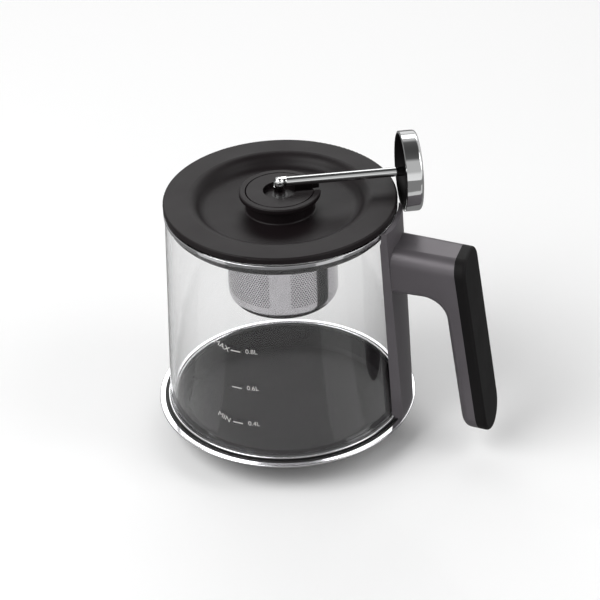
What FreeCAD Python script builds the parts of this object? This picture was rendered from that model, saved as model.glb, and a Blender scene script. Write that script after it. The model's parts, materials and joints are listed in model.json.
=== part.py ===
import FreeCAD, Part
import math
import os

from FreeCAD import Vector

# Glass jug of an automatic tea maker, with its handle, lid, folding lift lever and tea basket.
# Units are millimetres. The origin is the centre of the foot on the surface that the jug stands on.
# +Z is up and +X points along the handle.

# Jug: glass cone with a rolled rim, standing in a metal ring over a sunk heating pan
SEAT_Z = 16.0                # top of the pan flange that carries the glass, above the floor
GLASS_FOOT_R = 57.0          # outer radius of the glass at its foot
GLASS_TOP_R = 53.5           # outer radius of the glass just under the rolled rim
GLASS_WALL = 2.2
GLASS_SOFT = 0.55            # softening of the foot's edges
GLASS_RIM_Z = 120.9          # highest point of the rolled rim
BEAD_H = 2.7                 # height of the rolled rim
BEAD_OUT = 0.45              # how far the rim swells beyond the wall
GASKET_T = 1.0               # rubber under and around the glass foot
GASKET_LIP_H = 0.3           # how far the rubber climbs the outside of the glass
GASKET_LIP_T = 1.2           # thickness of the rubber between the glass and the ring

RING_IN_R = GLASS_FOOT_R + GASKET_LIP_T
RING_LEDGE = 4.1             # how far the bright ring stands out round the glass foot
RING_R = RING_IN_R + RING_LEDGE
RING_EDGE_T = 1.0            # thickness of the ring at its outer edge
RING_H = 4.2                 # height of the ring at its inner side

PAN_T = 1.0                  # sheet thickness of the pan
PAN_FLANGE_GAP = 0.2         # flange edge to ring
PAN_FLANGE_R = RING_IN_R - PAN_FLANGE_GAP
PAN_FLANGE_W = 4.0           # ledge that the glass stands on
PAN_MOUTH_R = PAN_FLANGE_R - PAN_FLANGE_W
PAN_TAPER = 3.4              # how far the sunk wall leans in
PLATE_R = PAN_MOUTH_R - PAN_TAPER
PLATE_DROP = 8.2             # how far the plate lies below the glass seat
PAN_CORNER_R = 1.6

SPREADER_INSET = 6.6         # edge of the plate to edge of the spreader
SPREADER_R = PLATE_R - SPREADER_INSET
SPREADER_T = 0.8
ELEMENT_INSET = 11.0         # edge of the spreader to centre line of the sheathed element
ELEMENT_R = SPREADER_R - ELEMENT_INSET
ELEMENT_WIRE_R = 1.4
ELEMENT_SWEEP = 318.0        # degrees of the circle that the element fills
TERMINAL_R = 0.7
TERMINAL_H = 1.2
THERMOSTAT_R = 8.0

# Base cover: shallow bowl that tucks in under the pan
COVER_INSET = 1.4            # edge of the plate to top edge of the cover
COVER_TOP_R = PLATE_R - COVER_INSET
COVER_TUCK = 8.2             # how far the cover tucks in towards the foot
COVER_FOOT_R = COVER_TOP_R - COVER_TUCK
COVER_WALL = 1.8
COVER_FLOOR_T = 1.4
FOOT_RING_T = 1.0
FOOT_RING_INSET = 1.5        # edge of the cover's floor to edge of the foot ring
FOOT_RING_W = 3.0
FOOT_RING_OUT_R = COVER_FOOT_R - FOOT_RING_INSET
FOOT_RING_IN_R = FOOT_RING_OUT_R - FOOT_RING_W
CONTACT_HOLE_R = 15.0
CONTACT_BOARD_R = 18.0
CONTACT_BOARD_T = 1.0
CONTACT_RING_T = 0.8
CONTACT_RING_W = 2.0
CONTACT_RING_RADII = (5.0, 10.0)
BASE_SCREW_PCD_R = 24.0
BASE_SCREW_COUNT = 3
BASE_SCREW_R = 1.2
BASE_SCREW_HEAD_R = 2.4
BASE_SCREW_HEAD_T = 0.9
BASE_BOSS_WALL = 1.5

# Handle bracket: bevelled strip up the glass, wider at the top
PAD_T = 0.5
PAD_HALF_W = 9.0
PAD_END_GAP = 6.0
BRACKET_FOOT_T = 4.6         # bracket's outer face to the glass at its foot
BRACKET_TOP_T = 2.8          # the same at its top
BRACKET_OUT_FOOT_R = GLASS_FOOT_R + BRACKET_FOOT_T
BRACKET_OUT_TOP_R = GLASS_TOP_R + BRACKET_TOP_T
BRACKET_TOP_Z = 121.1
BRACKET_FOOT_HALF_W = 11.9
BRACKET_TOP_HALF_W = 15.5
BRACKET_SWEEP = 60.0         # degrees of the turned blank that the bracket is cut from
BRACKET_BEVEL = 0.55         # sideways step of the bevel for each millimetre outwards

# Handle: flat arm that turns down into a slanted grip
HANDLE_W = 24.5
ARM_ROOT_TOP_Z = 110.5
ARM_END_TOP_Z = 108.2
ARM_UNDER_Z = 87.7
ARM_REACH = 36.5             # glass to outer face of the grip at the arm's height
GRIP_REACH = 46.4            # glass to outer face of the grip at its lower end
GRIP_OUT_TOP_X = GLASS_TOP_R + ARM_REACH
GRIP_OUT_FOOT_X = GLASS_FOOT_R + GRIP_REACH
GRIP_T = 12.3                # thickness of the grip from inner to outer face
GRIP_FOOT_Z = 14.0
ARM_TOP_R = 7.5              # rounding of the arm's upper long edges
ARM_CROTCH_R = 12.0          # inner corner between arm and grip
HANDLE_EDGE_R = 4.2          # rounding of the lower and inner edges
SHELL_WALL = 2.6
INSERT_T = 5.0               # thickness of the black insert that shows
INSERT_GAP = 0.15
INSERT_TONGUE = 2.0
INSERT_EDGE_R = 1.6          # rounding round the outer face
RIB_T = 1.8
RIB_COUNT = 3
HANDLE_SCREW_R = 1.6
HANDLE_SCREW_HEAD_R = 3.2
HANDLE_SCREW_HEAD_T = 1.2
HANDLE_SCREW_L = 9.0
HANDLE_SCREW_SPACING = 14.0
HANDLE_SCREW_SINK = 0.25     # how far the heads lie below the bracket's inner face

# Lid: dished disc with a centre boss that guides the lift stem
LID_OVERHANG = 0.6           # how far the lid stands out beyond the glass wall
LID_R = GLASS_TOP_R + LID_OVERHANG
LID_RIM_Z = 124.7
LID_EDGE_H = 3.0
LID_EDGE_R = 0.8
LID_T = 2.2
LID_RIM_W = 11.1             # width of the flat rim
LID_ROLL_W = 9.7             # width of the roll-off from rim to floor
LID_SHOULDER_R = LID_R - LID_RIM_W
LID_FLOOR_R = LID_SHOULDER_R - LID_ROLL_W
LID_FLOOR_Z = 118.9
SKIRT_GAP = 1.7              # skirt to inside of the glass
SKIRT_R = GLASS_TOP_R - GLASS_WALL - SKIRT_GAP
SKIRT_T = 1.8
SKIRT_FOOT_Z = 115.2
LID_GASKET_CLEAR = 0.3       # tip of the fins to inside of the glass
LID_GASKET_FIN_R = GLASS_TOP_R - GLASS_WALL - LID_GASKET_CLEAR
LID_GASKET_FIN_T = 1.0
LID_GASKET_T = 0.7
BOSS_R = 15.9
BOSS_WALL = 2.2
BOSS_TOP_Z = 125.7
CAP_R = 18.8
CAP_T = 2.3
CAP_SEAT_GAP = 0.2
CAP_PLUG_H = 3.4
CAP_GROOVE_R = 15.8
CAP_GROOVE_W = 0.7
CAP_GROOVE_D = 0.6
CAP_RECESS_R = 7.8
CAP_RECESS_D = 2.5
CAP_SLOT_W = 5.6
CAP_EDGE_R = 0.7
UNDERPLATE_T = 1.2
UNDERPLATE_GAP = 0.2
HUB_WALL = 2.4
LID_SCREW_PCD_R = 24.0
LID_SCREW_COUNT = 3
LID_SCREW_R = 1.3
LID_SCREW_HEAD_R = 2.6
LID_SCREW_L = 4.0
LID_BOSS_WALL = 1.6

# Lift stem, clevis and folding lever
STEM_R = 2.6
BUSH_R = 3.7
RUN_GAP = 0.06               # radial running clearance of the stem and the pin
PIVOT_Z = 132.3
LEVER_AZ = 25.0              # direction of the folded lever, turned from the handle
CLEVIS_GAP = 2.1
TONGUE_T = 1.9
TONGUE_R = 2.1
CLEVIS_FLOOR_GAP = 0.1
PIN_R = 0.8
PIN_HEAD_T = 0.25
ROD_R = 2.2
ROD_START = 3.3              # where the round rod begins, measured from the pivot
KNOB_LID_GAP = 2.1           # edge of the lid to open face of the cup
KNOB_FACE = LID_R + KNOB_LID_GAP
KNOB_R = 18.7
KNOB_DEPTH = 8.0
KNOB_WALL = 1.0
KNOB_EDGE_R = 1.6
KNOB_HUB_R = 4.2
KNOB_HUB_H = 2.5
KNOB_SCREW_R = 1.3
KNOB_SCREW_L = 7.0
KNOB_BUTTON_R = 3.0
KNOB_BUTTON_T = 0.6
STEM_THREAD_R = 1.6
COLLAR_R = 4.6
COLLAR_GAP = 0.3

# Tea basket hanging on a cover disc at the stem's foot
BASKET_R = 26.0
BASKET_WALL = 0.8
BASKET_FOOT_Z = 72.0
BASKET_CORNER_R = 6.0
BASKET_TOP_Z = 110.5
RIM_R = 27.2
RIM_H = 3.4
RIM_LIP_T = 0.9
COVER_DISC_T = 1.0
COVER_DISC_GAP = 0.3
COVER_HUB_R = 5.4
COVER_HUB_H = 2.6
COVER_HOLE_R = 1.5
COVER_HOLE_ROW_R = (10.0, 15.0, 20.0)
COVER_HOLE_COUNTS = (10, 16, 20)
LUG_COUNT = 3
LUG_ANGLE = 24.0
LUG_REACH = 1.1
LUG_T = 1.0
LUG_TURN = 30.0              # turn that brings the notches of the rim over the lugs
LUG_NOTCH_SPARE = 4.0
NUT_R = 3.4
NUT_H = 2.2
FLOOR_HOLE_R = 1.4
FLOOR_HOLE_ROW_R = (6.0, 11.5, 17.0)
FLOOR_HOLE_COUNTS = (6, 12, 18)

# Heights that follow from the sizes above
PLATE_Z = SEAT_Z - PLATE_DROP
PAN_UNDER_Z = PLATE_Z - PAN_T
SPREADER_Z = PAN_UNDER_Z - SPREADER_T
COVER_FLOOR_Z = FOOT_RING_T + COVER_FLOOR_T
GLASS_FOOT_Z = SEAT_Z + GASKET_T
BEAD_Z = GLASS_RIM_Z - BEAD_H
RING_TOP_Z = SEAT_Z + GASKET_T * 0.3
CAP_TOP_Z = BOSS_TOP_Z + CAP_SEAT_GAP + CAP_T
RECESS_Z = CAP_TOP_Z - CAP_RECESS_D
UNDERPLATE_Z = SKIRT_FOOT_Z - UNDERPLATE_T
COLLAR_TOP_Z = UNDERPLATE_Z - COLLAR_GAP
COVER_DISC_Z = BASKET_TOP_Z - RIM_LIP_T - COVER_DISC_GAP - COVER_DISC_T
HUB_TOP_Z = COVER_DISC_Z + COVER_DISC_T + COVER_HUB_H
LEVER_DIR = Vector(math.cos(math.radians(LEVER_AZ)), math.sin(math.radians(LEVER_AZ)), 0)

Z_AXIS = Vector(0, 0, 1)
ORIGIN = Vector(0, 0, 0)


def save(name, shape):
    """Write one node as a STEP file and say how big it is."""
    shape.exportStep("parts/" + name + ".step")
    box = shape.BoundBox
    print(f"{name:18s} solids {len(shape.Solids)} volume {shape.Volume:10.1f} valid {shape.isValid()}"
          f" z {box.ZMin:7.2f} {box.ZMax:7.2f}")


def closed_wire(steps, place):
    """Closed wire through steps: a step is a point (a, b), or a pair of points for an arc via, end."""
    first = steps[0]
    last = first
    edges = []
    for step in list(steps[1:]) + [first]:
        if isinstance(step[0], tuple):
            edges.append(Part.Arc(place(*last), place(*step[0]), place(*step[1])).toShape())
            last = step[1]
        elif math.dist(step, last) > 1e-6:
            edges.append(Part.LineSegment(place(*last), place(*step)).toShape())
            last = step
    return Part.Wire(edges)


def lathe(steps, degrees=360.0, start=0.0):
    """Solid of revolution about Z from a closed outline of (radius, height) steps."""
    turn = math.radians(start)
    wire = closed_wire(steps, lambda r, z: Vector(r * math.cos(turn), r * math.sin(turn), z))
    return Part.Face(wire).revolve(ORIGIN, Z_AXIS, degrees)


def tube(radius_out, radius_in, low, high):
    """Plain ring between two heights."""
    return lathe([(radius_in, low), (radius_out, low), (radius_out, high), (radius_in, high)])


def rod(radius, low, high, x=0.0, y=0.0):
    """Upright cylinder between two heights."""
    return Part.makeCylinder(radius, high - low, Vector(x, y, low), Z_AXIS)


def around(count, radius, start=0.0):
    """Points evenly spaced on a circle."""
    for k in range(count):
        turn = math.radians(start + 360.0 * k / count)
        yield radius * math.cos(turn), radius * math.sin(turn)


def glass_r(z):
    """Outer radius of the glass cone at a height."""
    start = GLASS_FOOT_Z + GLASS_SOFT
    share = (z - start) / (BEAD_Z - start)
    return GLASS_FOOT_R + (GLASS_TOP_R - GLASS_FOOT_R) * share


def glass_body():
    """Cone wall with a rolled rim and softened foot edges."""
    soft = GLASS_SOFT
    inner = GLASS_TOP_R - GLASS_WALL
    return lathe([
        (GLASS_FOOT_R - GLASS_WALL + soft, GLASS_FOOT_Z),
        (GLASS_FOOT_R - soft, GLASS_FOOT_Z),
        (GLASS_FOOT_R, GLASS_FOOT_Z + soft),
        (GLASS_TOP_R, BEAD_Z),
        ((GLASS_TOP_R + BEAD_OUT, BEAD_Z + BEAD_H * 0.45), (GLASS_TOP_R - GLASS_WALL * 0.3, GLASS_RIM_Z)),
        ((inner + BEAD_OUT * 0.6, GLASS_RIM_Z - BEAD_H * 0.12), (inner, GLASS_RIM_Z - BEAD_H * 0.4)),
        (GLASS_FOOT_R - GLASS_WALL, GLASS_FOOT_Z + soft),
    ])


def glass_gasket():
    """Rubber ring with an L section under and outside the glass foot."""
    outer = RING_IN_R
    return lathe([
        (PAN_MOUTH_R + GASKET_T / 2, SEAT_Z),
        (PAN_FLANGE_R, SEAT_Z),
        (outer, SEAT_Z),
        (outer, GLASS_FOOT_Z + GASKET_LIP_H),
        (GLASS_FOOT_R + 0.05, GLASS_FOOT_Z + GASKET_LIP_H),
        (GLASS_FOOT_R + 0.05, GLASS_FOOT_Z),
        (PAN_MOUTH_R + GASKET_T / 2, GLASS_FOOT_Z),
    ])


def heater_pan():
    """Pressed pan: flange, sunk tapering wall and flat plate, with rounded corners."""
    slope = (PAN_MOUTH_R - PLATE_R) / PLATE_DROP
    c = PAN_CORNER_R
    k = c * (1 - math.cos(math.radians(45)))
    wall_foot = PLATE_R + slope * c
    return lathe([
        (0, PAN_UNDER_Z),
        (PLATE_R - c, PAN_UNDER_Z),
        ((PLATE_R - k + PAN_T * 0.7, PLATE_Z + k - PAN_T * 0.7), (wall_foot + PAN_T, PLATE_Z + c)),
        (PAN_MOUTH_R + PAN_T, SEAT_Z - PAN_T),
        (PAN_FLANGE_R, SEAT_Z - PAN_T),
        (PAN_FLANGE_R, SEAT_Z),
        (PAN_MOUTH_R, SEAT_Z),
        (wall_foot, PLATE_Z + c),
        ((PLATE_R - k, PLATE_Z + k), (PLATE_R - c, PLATE_Z)),
        (0, PLATE_Z),
    ])


def base_ring():
    """Bright wedge ring round the glass foot, undercut so that only its edge shows."""
    edge = RING_EDGE_T
    top = RING_TOP_Z
    crimp_z = SEAT_Z - PAN_T
    return lathe([
        (RING_IN_R, top),
        (RING_R - edge / 2, top),
        ((RING_R, top - edge / 2), (RING_R - edge / 2, top - edge)),
        (PAN_FLANGE_R, top - RING_H),
        (PAN_MOUTH_R + PAN_T + 1.2, top - RING_H),
        (PAN_MOUTH_R + PAN_T + 1.2, crimp_z),
        (PAN_FLANGE_R, crimp_z),
        (PAN_FLANGE_R, SEAT_Z),
        (RING_IN_R, SEAT_Z),
    ])


def heat_spreader():
    """Aluminium disc under the plate, with holes for the base screws."""
    disc = rod(SPREADER_R, SPREADER_Z, PAN_UNDER_Z)
    for x, y in around(BASE_SCREW_COUNT, BASE_SCREW_PCD_R, 60):
        disc = disc.cut(rod(BASE_SCREW_R, SPREADER_Z, PAN_UNDER_Z, x, y))
    return disc


def heating_element():
    """Sheathed element bent to an open ring, with a terminal pin at each end."""
    z = SPREADER_Z - ELEMENT_WIRE_R
    gap = (360.0 - ELEMENT_SWEEP) / 2
    ring = Part.makeTorus(ELEMENT_R, ELEMENT_WIRE_R, Vector(0, 0, z), Z_AXIS, -180, 180, ELEMENT_SWEEP)
    ring.rotate(ORIGIN, Z_AXIS, 180 + gap)
    for side in (gap, -gap):
        turn = math.radians(180 + side)
        inside = math.radians(180 + side * 1.12)
        start = Vector(ELEMENT_R * math.cos(inside), ELEMENT_R * math.sin(inside), z)
        end = start - Vector(0, 0, ELEMENT_WIRE_R + TERMINAL_H - ELEMENT_WIRE_R / 2)
        ring = ring.fuse(Part.makeCylinder(TERMINAL_R, (start - end).Length, start, end - start))
    return ring.removeSplitter()


def thermostat():
    """Small cup-shaped switch under the middle of the plate."""
    z = COVER_FLOOR_Z + CONTACT_BOARD_T
    lip = THERMOSTAT_R * 0.8
    return lathe([(0, z), (lip, z), (lip, z + 0.9), (THERMOSTAT_R, z + 1.3),
                  (THERMOSTAT_R, SPREADER_Z), (0, SPREADER_Z)])


def contact_board():
    """Insulating disc that carries the contact rings inside the base cover."""
    return rod(CONTACT_BOARD_R, COVER_FLOOR_Z, COVER_FLOOR_Z + CONTACT_BOARD_T)


def contact_rings():
    """Two brass rings on the underside of the contact board."""
    rings = [tube(r + CONTACT_RING_W, r, COVER_FLOOR_Z - CONTACT_RING_T, COVER_FLOOR_Z)
             for r in CONTACT_RING_RADII]
    return Part.makeCompound(rings)


def base_cover():
    """Shallow tapering bowl under the pan, open in the middle, with screw bosses."""
    low = FOOT_RING_T
    top = PAN_UNDER_Z
    floor = COVER_FLOOR_Z
    bowl = lathe([
        (CONTACT_HOLE_R, low),
        (COVER_FOOT_R - 1.0, low),
        (COVER_FOOT_R, low + 0.6),
        (COVER_TOP_R, top),
        (COVER_TOP_R - COVER_WALL, top),
        (COVER_FOOT_R - COVER_WALL, floor),
        (CONTACT_HOLE_R, floor),
    ])
    for x, y in around(BASE_SCREW_COUNT, BASE_SCREW_PCD_R, 60):
        bowl = bowl.fuse(rod(BASE_SCREW_R + BASE_BOSS_WALL, floor - 0.2, SPREADER_Z, x, y))
        bowl = bowl.cut(rod(BASE_SCREW_R, low, SPREADER_Z, x, y))
        bowl = bowl.cut(rod(BASE_SCREW_HEAD_R, low, low + BASE_SCREW_HEAD_T, x, y))
    return bowl.removeSplitter()


def foot_ring():
    """Soft ring that the jug stands on."""
    return tube(FOOT_RING_OUT_R, FOOT_RING_IN_R, 0, FOOT_RING_T)


def base_screws():
    """Screws that hold the base cover to the spreader."""
    screws = []
    for x, y in around(BASE_SCREW_COUNT, BASE_SCREW_PCD_R, 60):
        head = rod(BASE_SCREW_HEAD_R, FOOT_RING_T, FOOT_RING_T + BASE_SCREW_HEAD_T, x, y)
        screws.append(head.fuse(rod(BASE_SCREW_R, FOOT_RING_T, PAN_UNDER_Z, x, y)))
    return Part.makeCompound(screws)


def bracket_r(z):
    """Outer radius of the bracket at a height."""
    share = (z - RING_TOP_Z) / (BRACKET_TOP_Z - RING_TOP_Z)
    return BRACKET_OUT_FOOT_R + (BRACKET_OUT_TOP_R - BRACKET_OUT_FOOT_R) * share


def bracket_outline(x, low, high, foot_half, top_half):
    """Tapering upright outline in a plane across the handle."""
    corners = [(-foot_half, low), (foot_half, low), (top_half, high), (-top_half, high)]
    return closed_wire(corners, lambda y, z: Vector(x, y, z))


def handle_bracket():
    """Curved strip on the glass with bevelled sides and top."""
    inside_top = GLASS_TOP_R + PAD_T + 0.5
    band = lathe([
        (RING_IN_R + 0.1, RING_TOP_Z),
        (bracket_r(RING_TOP_Z), RING_TOP_Z),
        (bracket_r(BRACKET_TOP_Z), BRACKET_TOP_Z),
        (inside_top, BRACKET_TOP_Z),
        (inside_top, BEAD_Z - 1.0),
        (glass_r(BEAD_Z - 3.0) + PAD_T, BEAD_Z - 3.0),
        (glass_r(GLASS_FOOT_Z + GASKET_LIP_H + 0.4) + PAD_T, GLASS_FOOT_Z + GASKET_LIP_H + 2.0),
        (RING_IN_R + 0.1, GLASS_FOOT_Z + GASKET_LIP_H + 0.8),
    ], BRACKET_SWEEP, -BRACKET_SWEEP / 2)
    near = GLASS_TOP_R * 0.8
    far = BRACKET_OUT_FOOT_R + 4.0
    seat_x = math.sqrt(GLASS_TOP_R ** 2 - BRACKET_TOP_HALF_W ** 2)
    foot_x = math.sqrt(GLASS_FOOT_R ** 2 - BRACKET_FOOT_HALF_W ** 2)

    def outline_at(x):
        foot_half = BRACKET_FOOT_HALF_W - BRACKET_BEVEL * (x - foot_x)
        top_half = BRACKET_TOP_HALF_W - BRACKET_BEVEL * (x - seat_x)
        top = BRACKET_TOP_Z - BRACKET_BEVEL * (x - GLASS_TOP_R - 0.6)
        return bracket_outline(x, RING_TOP_Z - 1.0, top, foot_half, top_half)

    wedge = Part.makeLoft([outline_at(near), outline_at(far)], True, True)
    strip = band.common(wedge)
    for z in screw_heights():
        hole = Part.makeCylinder(HANDLE_SCREW_R, 20, Vector(50, 0, z), Vector(1, 0, 0))
        strip = strip.cut(hole)
        strip = strip.cut(screw_head(z, 2 * PAD_T))
    return strip.removeSplitter()


def screw_heights():
    """Heights of the two screws that join the arm to the bracket."""
    middle = (ARM_ROOT_TOP_Z + ARM_UNDER_Z) / 2
    return (middle - HANDLE_SCREW_SPACING / 2, middle + HANDLE_SCREW_SPACING / 2)


def screw_start(z):
    """Where the head of a handle screw begins, just under the bracket's inner face."""
    return glass_r(z) + PAD_T + HANDLE_SCREW_SINK


def screw_head(z, gap):
    """Pan head of a handle screw; with a gap it is the recess that holds the head."""
    x = screw_start(z) - gap
    return Part.makeCylinder(HANDLE_SCREW_HEAD_R, HANDLE_SCREW_HEAD_T + gap, Vector(x, 0, z), Vector(1, 0, 0))


def bracket_pad():
    """Thin soft layer between the glass and the bracket."""
    low = GLASS_FOOT_Z + GASKET_LIP_H + PAD_END_GAP
    high = BEAD_Z - PAD_END_GAP
    band = lathe([
        (glass_r(low), low),
        (glass_r(low) + PAD_T, low),
        (glass_r(high) + PAD_T, high),
        (glass_r(high), high),
    ], 40.0, -20.0)
    block = Part.makeBox(2 * GLASS_FOOT_R, 2 * PAD_HALF_W, high - low, Vector(0, -PAD_HALF_W, low))
    return band.common(block)


def grip_x(z):
    """Outer face of the grip at a height."""
    share = (ARM_END_TOP_Z - z) / (ARM_END_TOP_Z - GRIP_FOOT_Z)
    return GRIP_OUT_TOP_X + (GRIP_OUT_FOOT_X - GRIP_OUT_TOP_X) * share


def offset_corner(corner, before, after, radius):
    """Start, middle and end of a round corner between two straight sides."""
    a = Vector(before[0] - corner[0], before[1] - corner[1], 0)
    b = Vector(after[0] - corner[0], after[1] - corner[1], 0)
    a.normalize()
    b.normalize()
    half = a.getAngle(b) / 2
    reach = radius / math.tan(half)
    centre_way = (a + b).normalize()
    c = Vector(corner[0], corner[1], 0)
    centre = c + centre_way * (radius / math.sin(half))
    middle = centre - centre_way * radius
    start = c + a * reach
    end = c + b * reach
    return (start.x, start.y), (middle.x, middle.y), (end.x, end.y)


def rounded(corners):
    """Outline steps from corners (x, z, radius), each with its own rounding."""
    steps = []
    count = len(corners)
    for k, (x, z, radius) in enumerate(corners):
        before = corners[k - 1][:2]
        after = corners[(k + 1) % count][:2]
        if radius < 1e-6:
            steps.append((x, z))
            continue
        start, middle, end = offset_corner((x, z), before, after, radius)
        steps.append(start)
        steps.append((middle, end))
    return steps


def handle_side(skin=0.0):
    """Side view of arm and grip, drawn in by a skin thickness on every face but the outer one."""
    root = GLASS_TOP_R - 4.0
    under = ARM_UNDER_Z + skin
    foot = GRIP_FOOT_Z - HANDLE_EDGE_R
    inner = GRIP_T - skin
    return rounded([
        (root, ARM_ROOT_TOP_Z - skin, 0),
        (grip_x(ARM_END_TOP_Z - skin), ARM_END_TOP_Z - skin, 0),
        (grip_x(foot), foot, 0),
        (grip_x(foot) - inner, foot, 0),
        (grip_x(under) - inner, under, ARM_CROTCH_R + skin),
        (root, under, 0),
    ])


def side_prism(steps, half_w):
    """Side view carried across the handle's width."""
    wire = closed_wire(steps, lambda x, z: Vector(x, -half_w, z))
    return Part.Face(wire).extrude(Vector(0, 2 * half_w, 0))


def front_prism(skin=0.0):
    """Front view of the handle carried along the arm: rounded top corners and a half round foot."""
    half = HANDLE_W / 2 - skin
    fall = (ARM_ROOT_TOP_Z - ARM_END_TOP_Z) / (GRIP_OUT_TOP_X - GLASS_TOP_R)
    top = ARM_ROOT_TOP_Z + fall * GLASS_TOP_R - skin
    foot = GRIP_FOOT_Z + fall * GRIP_OUT_FOOT_X + skin
    outline = rounded([
        (-half, foot, half * 0.98),
        (half, foot, half * 0.98),
        (half, top, ARM_TOP_R - skin),
        (-half, top, ARM_TOP_R - skin),
    ])
    wire = closed_wire(outline, lambda y, z: Vector(0, y, z))
    length = 2 * GRIP_OUT_FOOT_X
    return Part.Face(wire).extrude(Vector(length, 0, -fall * length))


def handle_form(skin=0.0):
    """Arm and grip with sharp rims: side view and front view cut against each other."""
    return side_prism(handle_side(skin), HANDLE_W).common(front_prism(skin))


def handle_blank():
    """Outer form of arm and grip with its rims rounded."""
    form = handle_form()
    outer = [edge for edge in form.Edges if on_grip_face(edge, 0.0)]
    crisp = form.makeFillet(INSERT_EDGE_R, outer)
    return crisp.makeFillet(HANDLE_EDGE_R, [edge for edge in crisp.Edges if on_hand_side(edge)])


def on_grip_face(edge, depth):
    """True for an edge that lies at a depth behind the grip's outer face."""
    places = [edge.valueAt(edge.FirstParameter + share * (edge.LastParameter - edge.FirstParameter))
              for share in (0.1, 0.5, 0.9)]
    return all(abs(grip_x(place.z) - depth - place.x) < 0.01 for place in places)


def on_hand_side(edge):
    """True for the rims of the faces that the fingers close round."""
    box = edge.BoundBox
    beside = box.YLength < 0.01 and abs(abs(box.YMin) - HANDLE_W / 2) < 0.01
    under_arm = box.ZMax < ARM_UNDER_Z + 0.01 and box.ZMin > ARM_UNDER_Z - 2 * ARM_CROTCH_R
    middle = edge.valueAt((edge.FirstParameter + edge.LastParameter) / 2)
    before_grip = middle.x < grip_x(middle.z) - GRIP_T + 0.01
    if beside and under_arm and before_grip:
        return True
    return on_grip_face(edge, GRIP_T) and (beside or box.ZMax < GRIP_FOOT_Z + HANDLE_W)


def insert_cut():
    """Everything outside the line where the black insert starts."""
    high = ARM_ROOT_TOP_Z + 20
    low = GRIP_FOOT_Z - 20
    corners = [
        (grip_x(low) - INSERT_T, low),
        (GRIP_OUT_FOOT_X + 60, low),
        (GRIP_OUT_FOOT_X + 60, high),
        (grip_x(high) - INSERT_T, high),
    ]
    return side_prism(corners, HANDLE_W)


def pocket(gap=0.0):
    """Hollow inside the shell, open towards the insert."""
    inner = handle_form(SHELL_WALL + gap)
    near = Part.makeBox(60, 80, 200, Vector(bracket_r(ARM_UNDER_Z) + SHELL_WALL + 1.5 + gap, -40, 0))
    return inner.common(near)


def handle_shell(blank):
    """Hollow arm and grip with cross ribs and two screw bosses at the root."""
    core = cone_core()
    shell = blank.cut(core).cut(insert_cut()).cut(pocket())
    half = HANDLE_W / 2
    inside = handle_form(SHELL_WALL / 2)
    for k in range(RIB_COUNT):
        z = GRIP_FOOT_Z + (ARM_UNDER_Z - GRIP_FOOT_Z) * (k + 1) / (RIB_COUNT + 1)
        depth = GRIP_T - INSERT_T - INSERT_TONGUE - INSERT_GAP * 2
        rib = Part.makeBox(depth, 2 * half, RIB_T, Vector(grip_x(z) - GRIP_T, -half, z))
        shell = shell.fuse(rib.common(inside))
    for z in screw_heights():
        start = bracket_r(z) - 1.0
        boss = Part.makeCylinder(HANDLE_SCREW_R + 2.0, HANDLE_SCREW_L, Vector(start, 0, z), Vector(1, 0, 0))
        shell = shell.fuse(boss.cut(core))
        hole = Part.makeCylinder(HANDLE_SCREW_R, 40, Vector(40, 0, z), Vector(1, 0, 0))
        stop = Part.makeBox(30, 20, 20, Vector(screw_tip(z), -10, z - 10))
        shell = shell.cut(hole.cut(stop))
    return shell.removeSplitter()


def cone_core():
    """Everything inside the bracket's outer face."""
    low = GRIP_FOOT_Z - 5
    return lathe([(0, low), (bracket_r(low), low), (bracket_r(ARM_ROOT_TOP_Z + 10), ARM_ROOT_TOP_Z + 10),
                  (0, ARM_ROOT_TOP_Z + 10)])


def screw_tip(z):
    """Where a handle screw ends inside its boss."""
    return screw_start(z) + HANDLE_SCREW_L


def grip_insert(blank):
    """Black insert on the outer side of the grip, with a tongue that fits the shell's pocket."""
    skin = blank.common(insert_cut())
    tongue_zone = insert_cut()
    tongue_zone.translate(Vector(-INSERT_TONGUE, 0, 0))
    tongue = pocket(INSERT_GAP).common(tongue_zone)
    return skin.fuse(tongue).removeSplitter()


def handle_screws():
    """Two screws through the bracket into the arm."""
    screws = []
    for z in screw_heights():
        start = screw_start(z)
        shank = Part.makeCylinder(HANDLE_SCREW_R, screw_tip(z) - start, Vector(start, 0, z), Vector(1, 0, 0))
        screws.append(shank.fuse(screw_head(z, 0.0)))
    return Part.makeCompound(screws)


def dish_slope(thick):
    """Points of the smooth roll-off from the flat rim to the sunk floor, or of its underside."""
    rim = (LID_SHOULDER_R - thick * 0.4, LID_RIM_Z - thick)
    floor = (LID_FLOOR_R, LID_FLOOR_Z - thick)
    middle = ((rim[0] + floor[0]) / 2, (rim[1] + floor[1]) / 2)
    bend = (LID_RIM_Z - LID_FLOOR_Z) * 0.09
    upper = ((rim[0] + middle[0]) / 2 + 0.1, (rim[1] + middle[1]) / 2 + bend * 1.6)
    lower = ((floor[0] + middle[0]) / 2 - 0.1, (floor[1] + middle[1]) / 2 - bend * 1.6)
    return rim, upper, middle, lower, floor


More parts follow.
